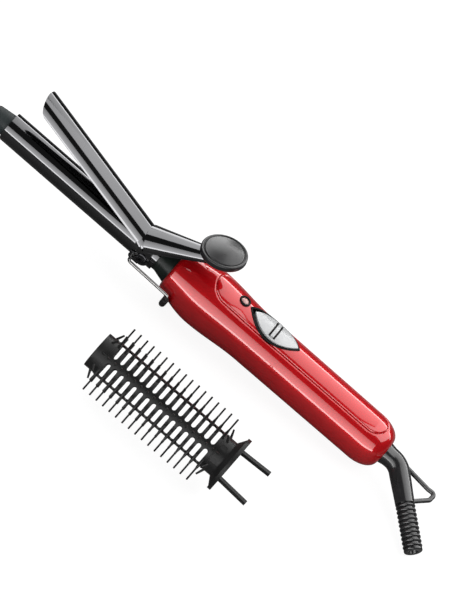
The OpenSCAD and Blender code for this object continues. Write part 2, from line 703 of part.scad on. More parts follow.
module lamp_ring() color([0.05, 0.05, 0.05]) laid() translate([handle_x + lamp_at, 0, lamp_z])
    difference() {
        union() {
            translate([0, 0, -5]) cylinder(h = 5.1, d = lamp_d, $fn = 48);
            translate([0, 0, 0.1]) cylinder(h = 0.4, d1 = lamp_d, d2 = lamp_d - 0.8, $fn = 48);
        }
        translate([0, 0, -6]) cylinder(h = 8, d = lens_d + 2*fit, $fn = 48);
    }
module lamp_lens() color([0.95, 0.75, 0.75]) laid() translate([handle_x + lamp_at, 0, lamp_z])
    union() {
        translate([0, 0, -6.5]) cylinder(h = 6.4, d = lens_d, $fn = 48);
        intersection() {
            translate([0, 0, -lens_d*0.6]) sphere(r = lens_d*0.78, $fn = 48);
            translate([0, 0, -0.1]) cylinder(h = 3, d = lens_d, $fn = 48);
        }
    }

// Board across the handle's middle, with the switch's contacts and two blocks.
board_z = 5;
board_from = leaf_at - 26;
board_to = leaf_at + 28;
board_half = sqrt(pow(handle_r(board_to) - shell, 2) - board_z*board_z) - 0.2;
module wiring_board() color([0.1, 0.32, 0.16]) laid() {
    translate([handle_x + board_from, -board_half, board_z - 1.6])
        cube([board_to - board_from, 2*board_half, 1.6]);
    translate([handle_x + leaf_at - 8, -5, board_z - 0.1])
        cube([16, 10, well_floor - tongue - 0.3 - board_z + 0.1]);
    for (s = [-1, 1]) translate([handle_x + leaf_at + 15, s*5 - 2, board_z - 0.1])
        cube([8, 4, 4]);
}

// ---- stand ----------------------------------------------------------------------------
// One wire, from hinge to hinge: along the barrel, then round the handle's
// underside with a short straight run at the bottom.
function around(a) = [foot_x, foot_r*cos(a), -foot_r*sin(a)];
leg_bend = 4;
stand_hinge = [stand_x, stand_hinge_w, -stand_drop];
pin_end = stand_hinge_w - 3.2;
stand_half = concat(
    [[stand_x, pin_end - 1, -stand_drop], [stand_x, pin_end + 0.3, -stand_drop]],
    rounded([stand_x, 0, -stand_drop], stand_hinge, around(4), 2.4),
    rounded(stand_hinge, around(4), around(14), 1.6),
    [for (a = spread(16, 90 - foot_flat_half, 5)) around(a)],
    [[foot_x, foot_r*sin(foot_flat_half) - 3, -foot_chord]]);
function mirrored(p) = [for (i = [len(p) - 1:-1:0]) [p[i][0], -p[i][1], p[i][2]]];
sleeve_half = concat([for (a = spread(16, 90 - foot_flat_half, 6)) around(a)],
    [[foot_x, foot_r*sin(foot_flat_half) - 3, -foot_chord]]);
module stand_wire() color([0.75, 0.76, 0.78]) laid() {
    last = 2*len(stand_half) - 1;
    sweep(concat(stand_half, mirrored(stand_half)),
        [for (i = [0:last]) wire_d/2*(i == 0 || i == last ? 0.75 : 1)], 10, [1, 0, 0]);
    for (s = [-1, 1]) pin_y(stand_pivot, s > 0 ? br + 0.3 : -pin_end,
        s > 0 ? pin_end : -br - 0.3, wire_d/2);
}
// Rubber sleeve over the wire, with a flat where it stands.
module stand_foot() color([0.07, 0.07, 0.07]) difference() {
    laid() difference() {
        sweep(concat(sleeve_half, mirrored(sleeve_half)), sleeve_d/2, 14, [1, 0, 0]);
        sweep(concat([around(13)], stand_in_sleeve, mirrored(stand_in_sleeve), [mirrored([around(13)])[0]]),
            wire_d/2 + 0.12, 10, [1, 0, 0]);
    }
    translate([-20, -30, -10]) cube([40, 60, 10]);
}
stand_in_sleeve = concat([for (a = spread(16, 90 - foot_flat_half, 5)) around(a)],
    [[foot_x, foot_r*sin(foot_flat_half) - 3, -foot_chord]]);

// ---- cord guard --------------------------------------------------------------------------
// Bend frame: X along the handle, Y sideways in the plane of the bend.
module bend_frame() {
    translate([handle_end + guard_corner, 0, 0]) rotate([-90 + guard_droop, 0, 0])
        rotate([-90, 0, 0]) mirror([0, 0, 1]) children();
}
bend_t = guard_bend_r*tan(guard_bend/2);
rib_from = bend_t + guard_smooth;
guard_end = rib_from + ribs*rib_pitch + 2;
module bent_part() { rotate([0, 0, guard_bend]) children(); }
guard_line = concat(
    [[-guard_corner - 6, 0, 0], [-guard_corner, 0, 0]],
    [for (i = [0:6]) let (a = guard_bend*i/6) [-bend_t + guard_bend_r*sin(a),
        guard_bend_r*(1 - cos(a)), 0]],
    [for (l = [bend_t + 7, bend_t + 14, rib_from])
        l*[cos(guard_bend), sin(guard_bend), 0]]);
guard_radii = concat([guard_d/2, guard_d/2], [for (i = [0:6]) guard_bend_d/2],
    [guard_bend_d/2 - 0.1, guard_bend_d/2 - 0.3, rib_d/2]);
// Outline of the ribbed end: round-topped ribs on a slimmer core.
rib_outline = concat([[0, rib_from - 2], [rib_root_d/2, rib_from - 2]],
    [for (i = [1:ribs], k = [0:4]) let (h = sin(45*k))
        [rib_root_d/2 + (rib_d - rib_root_d)/2*sqrt(h),
         rib_from + (i - 0.86)*rib_pitch + rib_pitch*0.72*k/4]],
    [[rib_root_d/2, guard_end - 1.8], [rib_d/2 - 0.3, guard_end - 1.5],
     [rib_d/2 - 0.3, guard_end - 0.5], [rib_d/2 - 0.8, guard_end], [0, guard_end]]);
module cord_guard() color([0.05, 0.05, 0.05]) laid() bend_frame() difference() {
    union() {
        sweep(guard_line, guard_radii, 24, [0, 1, 0]);
        bent_part() rotate([0, 90, 0]) rotate_extrude($fn = 64) polygon(rib_outline);
        sweep(loop_line, loop_d/2, 10, [0, 0, 1]);
    }
    bent_part() along_x(guard_end - cord_depth, guard_end + 1, cord_d/2, cord_d/2, 40);
}
// Hanging loop, from the elbow's outer side back to the smooth part.
loop_start = [-3, -3.2, 0];
loop_tip = [loop_reach, 0.2, 0];
loop_foot = (rib_from - 2.5)*[cos(guard_bend), sin(guard_bend), 0]
    + 3.6*[sin(guard_bend), -cos(guard_bend), 0];
loop_line = concat([loop_start],
    rounded(loop_start, loop_tip + [0.6, -0.6, 0], loop_tip + [0.2, 4.8, 0], 2.2),
    rounded(loop_tip, loop_tip + [0.2, 4.8, 0], loop_foot, 2.2), [loop_foot]);

// Split ring that holds the guard behind the handle's end wall.
module guard_retainer() color([0.8, 0.8, 0.78]) laid() difference() {
    along_x(handle_end - end_wall - 2 - fit, handle_end - end_wall - fit,
        guard_d/2 + 2.4, guard_d/2 + 2.4);
    along_x(handle_end - end_wall - 3, handle_end, guard_d/2 + fit, guard_d/2 + fit);
}

// ---- brush ---------------------------------------------------------------------------------
cage_r = brush_cage_d/2;
slot_from = brush_ring_len + 1.4;
cage_len = slot_from + brush_pitch*(brush_rings - 1);
brush_len = cage_len + brush_hub_len + flange_rim;
tip_r = bristle_tip_d/2;
module brush_place() {
    translate([brush_x, brush_y, tip_r]) rotate([0, 0, brush_yaw])
        translate([-brush_len/2, 0, 0]) rotate([0, 90, 0]) children();
}
// A bristle with a flared foot, square to the surface.
module bristle() rotate([0, 90, 0]) rotate_extrude($fn = 16) polygon([
    [0, cage_r + 0.02], [bristle_foot_d/2, cage_r + 0.02], [bristle_d/2, cage_r + 3],
    [bristle_d/2, tip_r - 0.3], [bristle_d/2 - 0.2, tip_r], [0, tip_r]]);
// The two end rings have short bristles that lean outwards.
module short_bristles(r, lean) for (a = [0:45:315]) rotate([0, 0, a])
    translate([r - 0.6, 0, 0]) rotate([0, 90 - lean, 0])
        cylinder(h = 5.6, d1 = bristle_d + 0.6, d2 = bristle_d, $fn = 16);
// Front ring, which slips over the shut clamp; a key inside stops it turning.
module brush_ring() color([0.08, 0.08, 0.08]) brush_place() {
    difference() {
        union() {
            cylinder(h = brush_ring_len - fit, d = brush_ring_d, $fn = 64);
            translate([0, 0, brush_ring_len*0.6]) short_bristles(brush_ring_d/2, 24);
        }
        translate([0, 0, -1]) cylinder(h = brush_ring_len + 5, d = brush_bore, $fn = 64);
    }
    rotate([0, 0, 60]) translate([brush_bore/2 - 0.7, -1, 1])
        cube([1, 2, brush_ring_len - 2]);
}
// Barrel with four rows of slots; two spines are narrow and two are wide.
module brush_barrel() color([0.06, 0.06, 0.06]) brush_place() difference() {
    translate([0, 0, brush_ring_len]) cylinder(h = cage_len - brush_ring_len + 1.6,
        r = cage_r, $fn = 64);
    translate([0, 0, brush_ring_len - 1]) cylinder(h = cage_len + 10,
        r = cage_r - brush_wall, $fn = 64);
    for (i = [0:brush_rings - 2], a = [5, 85, 185, 265])
        translate([0, 0, slot_from + (i + 0.5)*brush_pitch]) rotate([0, 0, a])
            slot();
}
// Eight rows of bristles, on the spines and on the bars between the slots.
module brush_bristles() color([0.06, 0.06, 0.06]) brush_place()
    for (i = [0:brush_rings - 1], a = [0:45:315])
        translate([0, 0, slot_from + i*brush_pitch]) rotate([0, 0, a]) bristle();
module slot() {
    w = 2*cage_r*sin(slot_angle/2);
    translate([cage_r - 6, 0, 0]) rotate([0, 90, 0]) linear_extrude(height = 8) union() {
        square([slot_w, w - slot_w], center = true);
        for (s = [-1, 1]) translate([0, s*(w - slot_w)/2]) circle(slot_w/2, $fn = 24);
    }
}
module brush_hub() color([0.08, 0.08, 0.08]) brush_place() translate([0, 0, cage_len + 1.6 + fit]) {
    h = brush_hub_len - 1.6 - fit;
    difference() {
        union() {
            cylinder(h = h - 3, r = cage_r, $fn = 64);
            // dished flange
            translate([0, 0, h - 3.2]) cylinder(h = 3.2, r1 = cage_r, r2 = flange_d/2 - 1.2, $fn = 72);
            translate([0, 0, h - 0.01]) cylinder(h = flange_rim, r = flange_d/2, $fn = 72);
        }
        translate([0, 0, -1]) cylinder(h = h + 6, r = cage_r - brush_wall, $fn = 64);
        translate([0, 0, h + 1]) cylinder(h = flange_rim, r1 = cage_r, r2 = flange_d/2 - 1.6, $fn = 72);
        // grip notches
        for (a = [22.5:45:360]) rotate([0, 0, a]) translate([cage_r - 0.5, -1.6, 1])
            cube([2, 3.2, 4]);
    }
    translate([0, 0, 2.2]) short_bristles(cage_r, -20);
    // prongs that straddle the hinge
    for (s = [-1, 1]) translate([0, s*(flange_d/2 - 4.4), h + flange_rim/2])
        rotate([-s*4, 0, 0]) translate([-prong_w/2, -prong_w/2, -0.6])
            cube([prong_w, prong_w, prong_len]);
}

barrel_tube();
tip_cap();
heater_core();
heater_plate_ceramic();
neck_collar();
hinge_bracket();
pivot_screws();
clamp();
clamp_spring();
thumb_rest();
thumb_rivet();
handle_body();
handle_cover();
cover_screws();
switch_well();
switch_slider();
lamp_ring();
lamp_lens();
wiring_board();
stand_wire();
stand_foot();
cord_guard();
guard_retainer();
brush_ring();
brush_barrel();
brush_bristles();
brush_hub();
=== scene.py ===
import json
import math

import bpy
import numpy as np
from mathutils import Matrix, Vector


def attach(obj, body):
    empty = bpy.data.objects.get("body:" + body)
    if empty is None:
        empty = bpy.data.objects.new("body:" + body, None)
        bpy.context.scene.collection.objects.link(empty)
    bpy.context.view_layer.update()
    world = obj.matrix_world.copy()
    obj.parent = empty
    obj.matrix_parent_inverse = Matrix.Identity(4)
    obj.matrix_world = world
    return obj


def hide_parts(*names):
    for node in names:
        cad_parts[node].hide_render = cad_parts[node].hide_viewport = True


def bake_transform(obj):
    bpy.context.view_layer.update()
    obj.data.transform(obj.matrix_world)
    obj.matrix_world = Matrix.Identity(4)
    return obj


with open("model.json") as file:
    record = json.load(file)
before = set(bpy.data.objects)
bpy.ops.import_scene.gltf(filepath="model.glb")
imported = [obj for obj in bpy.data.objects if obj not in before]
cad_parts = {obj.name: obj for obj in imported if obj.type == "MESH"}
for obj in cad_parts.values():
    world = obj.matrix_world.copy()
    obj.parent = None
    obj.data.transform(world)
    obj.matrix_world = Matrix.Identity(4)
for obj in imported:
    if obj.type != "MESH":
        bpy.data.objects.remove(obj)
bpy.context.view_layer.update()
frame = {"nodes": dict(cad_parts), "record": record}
NODES = frame["nodes"]
JOINTS = {j["name"]: j for j in frame["record"]["behaviour"]["joints"]}
MM = 0.001


def linked(name, data):
    """A new object in the scene."""
    o = bpy.data.objects.new(name, data)
    bpy.context.scene.collection.objects.link(o)
    return o


def axes(x, y, z, at):
    """The matrix of an object whose axes are x, y and z and whose origin is at a point."""
    return Matrix((
        (x.x, y.x, z.x, at.x),
        (x.y, y.y, z.y, at.y),
        (x.z, y.z, z.z, at.z),
        (0, 0, 0, 1)))


# ---- camera: level with a table, turned so that the iron runs down to the right -------------
TILT = math.radians(42)
ROLL = math.radians(39.68)
DISTANCE = 2.0
VIEW_HEIGHT = 0.3564        # what the picture's height covers at AIM
SENSOR = 36
AIM = Vector((0.02765, 0.00415, 0.0243))


def set_camera():
    sideways = Vector((1, 0, 0))
    toward = Vector((0, math.cos(TILT), -math.sin(TILT)))
    level = Vector((0, math.sin(TILT), math.cos(TILT)))
    right = sideways * math.cos(ROLL) + level * math.sin(ROLL)
    up = level * math.cos(ROLL) - sideways * math.sin(ROLL)
    camera = linked("camera", bpy.data.cameras.new("camera"))
    camera.matrix_world = axes(right, up, -toward, AIM - toward * DISTANCE)
    camera.data.sensor_width = SENSOR
    camera.data.lens = SENSOR * DISTANCE / VIEW_HEIGHT
    camera.data.clip_start = 0.05
    camera.data.clip_end = 50
    bpy.context.scene.camera = camera
    bpy.context.scene.view_settings.view_transform = "Standard"


set_camera()


# ---- materials --------------------------------------------------------------------------
DRIFT = (0.3, 0.7)          # the noise's values between which colour and roughness drift
GRAIN_DEPTH = 0.0004


def new_look(name):
    m = bpy.data.materials.new(name)
    m.use_nodes = True
    return m, m.node_tree


def new_node(tree, kind, **inputs):
    """A new shader node with its constants. An underscore stands for a space in an input's name."""
    node = tree.nodes.new("ShaderNode" + kind)
    for socket, value in inputs.items():
        node.inputs[socket.replace("_", " ")].default_value = value
    return node


def links(tree, *pairs):
    for a, b in pairs:
        tree.links.new(a, b)


def surface(name, dark, light, rough, scale=60.0, stretch=(1, 1, 1), bump=0.0, bump_scale=900.0,
            metallic=0.0, specular=0.5, coat=0.0, coat_rough=0.04, coat_ior=1.5, transmission=0.0):
    """A surface whose colour and roughness drift a little, with a fine moulded or polished grain."""
    m, t = new_look(name)
    b = t.nodes["Principled BSDF"]
    where = new_node(t, "TexCoord")
    place = new_node(t, "Mapping", Scale=stretch)
    cloud = new_node(t, "TexNoise", Scale=scale, Detail=4)
    tint = new_node(t, "ValToRGB")
    for end, position, colour in zip(tint.color_ramp.elements, DRIFT, (dark, light)):
        end.position = position
        end.color = (*colour, 1)
    shine = new_node(t, "MapRange", From_Min=DRIFT[0], From_Max=DRIFT[1], To_Min=rough[0], To_Max=rough[1])
    links(t, (where.outputs["Object"], place.inputs["Vector"]),
          (place.outputs["Vector"], cloud.inputs["Vector"]),
          (cloud.outputs["Fac"], tint.inputs["Fac"]),
          (tint.outputs["Color"], b.inputs["Base Color"]),
          (cloud.outputs["Fac"], shine.inputs["Value"]),
          (shine.outputs["Result"], b.inputs["Roughness"]))
    if bump:
        grain = new_node(t, "TexNoise", Scale=bump_scale, Detail=3)
        relief = new_node(t, "Bump", Strength=bump, Distance=GRAIN_DEPTH)
        links(t, (place.outputs["Vector"], grain.inputs["Vector"]),
              (grain.outputs["Fac"], relief.inputs["Height"]),
              (relief.outputs["Normal"], b.inputs["Normal"]))
    b.inputs["Metallic"].default_value = metallic
    b.inputs["Specular IOR Level"].default_value = specular
    b.inputs["Coat Weight"].default_value = coat
    b.inputs["Coat Roughness"].default_value = coat_rough
    b.inputs["Coat IOR"].default_value = coat_ior
    b.inputs["Transmission Weight"].default_value = transmission
    return m


RED = surface("gloss_red", (0.45, 0.003, 0.006), (0.52, 0.004, 0.008), (0.34, 0.40),
              scale=35, bump=0.015, bump_scale=1400, metallic=0.35, specular=0.05,
              coat=1.0, coat_rough=0.03, coat_ior=1.75)
CHROME = surface("black_chrome", (0.112, 0.112, 0.115), (0.132, 0.132, 0.136), (0.05, 0.09),
                 scale=70, stretch=(0.25, 1, 1), metallic=1.0)
TIP = surface("tip_plastic", (0.014, 0.019, 0.020), (0.022, 0.029, 0.030), (0.48, 0.60),
              bump=0.12, bump_scale=1500, specular=0.3)
COLLAR = surface("collar_plastic", (0.006, 0.009, 0.008), (0.010, 0.014, 0.012), (0.28, 0.38),
                 bump=0.05, bump_scale=1600, specular=0.25)
THUMB = surface("satin_black", (0.006, 0.006, 0.0065), (0.010, 0.010, 0.011), (0.26, 0.34),
                bump=0.05, bump_scale=1800, coat=0.25, coat_rough=0.18)
STEEL = surface("bright_wire", (0.30, 0.295, 0.29), (0.38, 0.375, 0.37), (0.12, 0.20),
                scale=300, metallic=1.0)
DARK_STEEL = surface("dark_screws", (0.05, 0.05, 0.055), (0.08, 0.08, 0.085), (0.18, 0.28),
                     scale=300, metallic=1.0)
RUBBER = surface("rubber", (0.008, 0.008, 0.008), (0.014, 0.014, 0.014), (0.45, 0.6),
                 bump=0.1, bump_scale=1500)
SILVER = surface("silver_plastic", (0.42, 0.425, 0.43), (0.49, 0.495, 0.50), (0.36, 0.44),
                 scale=120, bump=0.03, bump_scale=2200, metallic=0.25, coat=0.08)
PITCH = surface("black_well", (0.003, 0.003, 0.003), (0.005, 0.005, 0.005), (0.35, 0.45),
                bump=0.04, bump_scale=1500, specular=0.12)
LENS = surface("lamp_lens", (0.80, 0.42, 0.38), (0.92, 0.55, 0.50), (0.08, 0.14),
               scale=600, coat=0.5, transmission=0.35)
GUARD = surface("guard_rubber", (0.006, 0.006, 0.0065), (0.011, 0.011, 0.012), (0.24, 0.34),
                bump=0.03, bump_scale=1200, coat=0.8, coat_rough=0.12)
BRUSH = surface("brush_plastic", (0.006, 0.006, 0.006), (0.012, 0.012, 0.012), (0.36, 0.48),
                bump=0.06, bump_scale=1500, specular=0.25)
BRIGHT = surface("bare_aluminium", (0.62, 0.63, 0.65), (0.72, 0.73, 0.75), (0.3, 0.4),
                 scale=200, bump=0.05, metallic=1.0)
CERAMIC = surface("ceramic", (0.78, 0.78, 0.74), (0.86, 0.86, 0.82), (0.4, 0.55), bump=0.05)
BOARD = surface("board_laminate", (0.03, 0.16, 0.06), (0.05, 0.22, 0.09), (0.3, 0.42), bump=0.05)
LOOKS = {
    "barrel_tube": CHROME, "clamp": CHROME, "hinge_bracket": CHROME,
    "tip_cap": TIP, "neck_collar": COLLAR, "thumb_rest": THUMB,
    "thumb_rivet": STEEL, "cover_screws": STEEL, "clamp_spring": STEEL, "stand_wire": STEEL,
    "pivot_screws": DARK_STEEL, "stand_foot": RUBBER, "cord_guard": GUARD,
    "handle_body": RED, "handle_cover": RED,
    "switch_slider": SILVER, "switch_well": PITCH, "lamp_ring": PITCH, "lamp_lens": LENS,
    "brush_ring": BRUSH, "brush_barrel": BRUSH, "brush_bristles": BRUSH, "brush_hub": BRUSH,
    "guard_retainer": BRIGHT, "heater_core": BRIGHT, "heater_plate_ceramic": CERAMIC,
    "wiring_board": BOARD}
for node, look in LOOKS.items():
    slots = NODES[node].data.materials
    slots.clear()
    slots.append(look)


# ---- the iron's own frame, in mm: X from the barrel's front, Z out of the switch's side --------
BARREL_LEN, NECK_LEN = 118.5, 10.3
PIVOT_BACK, PIVOT_DROP = 7.8, 0.5
PIVOT_X = BARREL_LEN - PIVOT_BACK
HANDLE_X, HANDLE_LEN = BARREL_LEN + NECK_LEN, 166.7
HANDLE_END = HANDLE_X + HANDLE_LEN
ALONG = -np.array(JOINTS["switch_slide"]["axis"])
ACROSS = np.array([0.0, 1.0, 0.0])
OVER = np.cross(ALONG, ACROSS)
HINGE = np.array(JOINTS["clamp_hinge"]["pos_m"])
FRONT = HINGE - (PIVOT_X * ALONG - PIVOT_DROP * OVER) * MM


def iron(p):
    """Points of the iron's frame, in metres where the iron lies."""
    p = np.atleast_2d(np.asarray(p, float))
    return FRONT + (p @ np.array([ALONG, ACROSS, OVER])) * MM


def mesh_points(mesh):
    return np.array([tuple(v.co) for v in mesh.vertices])


def piece(name, points, faces, look, body, *stands_for, sharp=35.0):
    """A piece that rides on a body, in place of the CAD nodes it stands for."""
    mesh = bpy.data.meshes.new(name)
    mesh.from_pydata([tuple(p) for p in points], [], [tuple(int(i) for i in f) for f in faces])
    mesh.validate()
    mesh.shade_smooth()
    mesh.set_sharp_from_angle(angle=math.radians(sharp))
    mesh.materials.append(look)
    o = linked(name, mesh)
    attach(o, body)
    if stands_for:
        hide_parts(*stands_for)
    return o


# ---- shared forms ---------------------------------------------------------------------------
def ease(t):
    t = np.clip(t, 0, 1)
    return t * t * (3 - 2 * t)


def quarter(t):
    """Height of a quarter circle at t: 1 at its top, 0 at its end."""
    return np.sqrt(np.clip(1 - t ** 2, 0, 1))


def unit(v):
    return v / np.linalg.norm(v)


def circle(sides):
    return np.linspace(0, 2 * math.pi, sides, endpoint=False)


def spaced(*runs):
    """Values from runs of (from, to, step)."""
    out = []
    for a, b, step in runs:
        n = max(1, round((b - a) / step))
        out += [a + (b - a) * i / n for i in range(n)]
    return np.array(out + [runs[-1][1]])


def rounded(a, b, c, r, n=10):
    """Points of the arc of radius r that rounds the corner b between a and c."""
    a, b, c = (np.array(v, float) for v in (a, b, c))
    u, v = unit(a - b), unit(c - b)
    half = math.acos(float(np.clip(u @ v, -1, 1))) / 2
    m = unit(u + v)
    o = b + m * r / math.sin(half)
    w = unit(v - (v @ m) * m)
    turn = [(math.pi / 2 - half) * (2 * i / n - 1) for i in range(n + 1)]
    return [o + r * (w * math.sin(q) - m * math.cos(q)) for q in turn]


def skin(rows, sides):
    """Faces between rows of points, each row a closed ring."""
    faces = []
    for i in range(rows - 1):
        for k in range(sides):
            j = (k + 1) % sides
            faces.append((i * sides + k, i * sides + j, (i + 1) * sides + j, (i + 1) * sides + k))
    return faces


def closed(rows, sides):
    """The same with a cap over the first and the last ring."""
    last = (rows - 1) * sides
    return skin(rows, sides) + [tuple(range(sides))[::-1], tuple(range(last, last + sides))]


def tube(path, radii, sides):
    """Swept round tube with closed ends: points and faces in the path's own units."""
    path = np.array(path, float)
    radii = np.broadcast_to(np.asarray(radii, float), (len(path),))
    tangent = np.gradient(path, axis=0)
    tangent /= np.linalg.norm(tangent, axis=1)[:, None]
    n = unit(np.cross(tangent[0], [0.3, 0.5, 0.81]))
    turn = circle(sides)
    rings = []
    for p, t, r in zip(path, tangent, radii):
        n = unit(n - (n @ t) * t)
        b = np.cross(t, n)
        rings.append(p + r * (np.cos(turn)[:, None] * n + np.sin(turn)[:, None] * b))
    return np.concatenate(rings), closed(len(path), sides)


def revolve(outline, sides):
    """Outline of (radius, x) turned about X."""
    points = np.array([(x, r * math.sin(a), r * math.cos(a)) for r, x in outline for a in circle(sides)])
    return points, [f[:1] + f[:0:-1] for f in skin(len(outline), sides)]


def joined(*parts):
    """Several (points, faces) as one."""
    points, faces, base = [], [], 0
    for p, f in parts:
        points.append(p)
        faces += [tuple(i + base for i in q) for q in f]
        base += len(p)
    return np.concatenate(points), faces


def used_only(points, faces):
    """The faces with only the points that they use."""
    used = sorted({i for f in faces for i in f})
    new = {old: i for i, old in enumerate(used)}
    return points[used], [tuple(new[i] for i in f) for f in faces]


# ---- handle: two glossy shells with a rounded seam between them --------------------------------
SHOULDER_LEN, SWELL_AT, GRIP_AT, ROUND_LEN = 3.0, 26.2, 64.0, 15.2
MOUTH_R, SHOULDER_R, SWELL_R, GRIP_R, REAR_R, TAIL_R = 10.8, 14.6, 19.2, 16.75, 16.3, 7.8
REAR_AT = HANDLE_LEN - ROUND_LEN
INSET = 0.015               # keeps these smoother shells inside the CAD box
COVER_FROM, COVER_TO = 24.0, 158.0
SEAM_ANGLE = math.radians(55)
SEAM_ROLL = 1.25
SCREWS_AT = (COVER_FROM + 12, COVER_TO - 14)
SCREW_R, SCREW_FLOOR = 2.75, 3.0
LAMP_AT, LAMP_R = 44.8, 3.15
LEAF_AT, LEAF_LEN, LEAF_W, LEAF_TRAVEL, LEAF_PROUD = 70.2, 33.0, 16.0, 2.4, 0.7
LEAF_GAP, WELL_WALL = 0.4, 0.9
WELL_AT = LEAF_AT - LEAF_TRAVEL / 2
WELL_LEN = LEAF_LEN + LEAF_TRAVEL + 2 * (LEAF_GAP + WELL_WALL)
WELL_W = LEAF_W + 2 * (LEAF_GAP + WELL_WALL)
WELL_ARC = (WELL_LEN ** 2 + WELL_W ** 2) / (4 * WELL_W)     # radius of each side of the well
WELL_ARC_Y = WELL_ARC - WELL_W / 2                          # its middle, from the well's axis


def handle_r(x):
    """Radius at a distance from the handle's front."""
    x = np.asarray(x, float)
    shoulder = MOUTH_R + (SHOULDER_R - MOUTH_R) * quarter(1 - x / SHOULDER_LEN)
    rise = np.radians(90 * (x - SHOULDER_LEN) / (SWELL_AT - SHOULDER_LEN))
    swell = SHOULDER_R + (SWELL_R - SHOULDER_R) * np.sin(rise)
    fall = np.radians(180 * (x - SWELL_AT) / (GRIP_AT - SWELL_AT))
    slim = GRIP_R + (SWELL_R - GRIP_R) * (1 + np.cos(fall)) / 2
    grip = GRIP_R + (REAR_R - GRIP_R) * (x - GRIP_AT) / (REAR_AT - GRIP_AT)
    rear = TAIL_R + (REAR_R - TAIL_R) * quarter((x - REAR_AT) / ROUND_LEN)
    limits = [x < SHOULDER_LEN, x < SWELL_AT, x < GRIP_AT, x < REAR_AT]
    return np.select(limits, [shoulder, swell, slim, grip], rear)


def cover_half(x):
    """Half the top shell's width, in plan."""
    return handle_r(x) * math.cos(SEAM_ANGLE)


ROUND_A = COVER_FROM + float(cover_half(COVER_FROM))
ROUND_B = COVER_TO - float(cover_half(COVER_TO))


def seam_distance(x, y):
    """Distance, in plan, from the seam's line: below zero on the top shell."""
    side = np.abs(y) - cover_half(np.clip(x, ROUND_A, ROUND_B))
    front = np.hypot(x - ROUND_A, y) - float(cover_half(ROUND_A))
    rear = np.hypot(x - ROUND_B, y) - float(cover_half(ROUND_B))
    return np.where(x < ROUND_A, front, np.where(x > ROUND_B, rear, side))


def well_distance(x, y):
    """Distance from the outline of the switch's well, where two equal circles cross."""
    return np.maximum(np.hypot(x, y - WELL_ARC_Y), np.hypot(x, y + WELL_ARC_Y)) - WELL_ARC


def handle_stations():
    """Places along the handle, closer together at the seam's ends, the lamp and the switch."""
    fine_to = 160
    shoulder = SHOULDER_LEN - SHOULDER_LEN * np.cos(np.linspace(0, math.pi / 2, 9))
    body = spaced((SHOULDER_LEN, 22.5, 1.3), (22.5, 39.5, 0.34), (39.5, 50, 0.5), (50, 90, 0.45),
                  (90, 140, 1.6), (140, fine_to, 0.34))
    turn = np.linspace(math.asin((fine_to - REAR_AT) / ROUND_LEN), math.pi / 2, 16)
    return np.concatenate([shoulder, body[1:], REAR_AT + ROUND_LEN * np.sin(turn[1:])])


def handle_angles():
    """Angles round the handle from the top, closer together over the top and at the seam."""
    half = spaced((0, 29, 1.05), (29, 41, 0.5), (41, 168, 4.2), (168, 180, 1.0))
    return np.radians(np.concatenate([half, 360 - half[1:-1][::-1]]))


def handle_mouths():
    """The shell's ends turn inwards round the neck and round the cord guard."""
    front, end = HANDLE_X, HANDLE_END
    return [revolve([(8.9, front + 3), (8.9, front + 0.25), (9.2, front), (MOUTH_R, front)], 96),
            revolve([(TAIL_R, end), (7.55, end), (7.32, end - 0.3), (7.32, end - 3.5)], 96)]


def screw_recess(at):
    """Wall and floor of a screw's hole in the lower shell."""
    sides = 48
    x = SCREW_R * np.cos(circle(sides)) + at
    y = SCREW_R * np.sin(circle(sides))
    mouth = np.column_stack([x + HANDLE_X, y, 0.02 - np.sqrt(handle_r(x) ** 2 - y ** 2)])
    deep = mouth.copy()
    deep[:, 2] = SCREW_FLOOR - float(handle_r(at))
    wall = [(k, (k + 1) % sides, sides + (k + 1) % sides, sides + k) for k in range(sides)]
    return np.concatenate([mouth, deep]), wall + [tuple(range(sides, 2 * sides))[::-1]]


def handle_shells():
    """Both shells as one grid of points, split along the seam and left open at the holes."""
    xs, angles = handle_stations(), handle_angles()
    n, m = len(xs), len(angles)
    x = xs[:, None] * np.ones(m)
    r = (handle_r(xs)[:, None] - INSET) * np.ones(m)
    y, z = -r * np.sin(angles), r * np.cos(angles)
    upper = z > 0
    # the seam: rolled edges that meet at the bottom of a narrow groove
    d = seam_distance(x, y)
    roll = SEAM_ROLL * (1 - quarter(np.clip(1 - np.abs(d) / SEAM_ROLL, 0, 1)))
    scale = (r - np.where(upper, roll, 0)) / r
    y, z = y * scale, z * scale
    gone = upper & (well_distance(x - WELL_AT, y) < -0.15)
    gone |= upper & (np.hypot(x - LAMP_AT, y) < LAMP_R + 0.05)
    for at in SCREWS_AT:
        gone |= ~upper & (np.hypot(x - at, y) < SCREW_R - 0.15) & (z < -5)
    top, lower = [], []
    for i in range(n - 1):
        for k in range(m):
            j = (k + 1) % m
            ids = ((i, k), (i, j), (i + 1, j), (i + 1, k))
            if all(gone[p] for p in ids):
                continue
            shell = top if upper[i, k] and sum(d[p] for p in ids) < 0 else lower
            shell.append(tuple(p[0] * m + p[1] for p in ids))
    grid = np.stack([x + HANDLE_X, y, z], axis=-1).reshape(-1, 3)
    points, faces = used_only(grid, top)
    piece("handle_top_shell", iron(points), faces, RED, "iron", "handle_cover", sharp=50)
    recesses = [screw_recess(at) for at in SCREWS_AT]
    points, faces = joined(used_only(grid, lower), *handle_mouths(), *recesses)
    piece("handle_lower_shell", iron(points), faces, RED, "iron", "handle_body", sharp=50)


handle_shells()


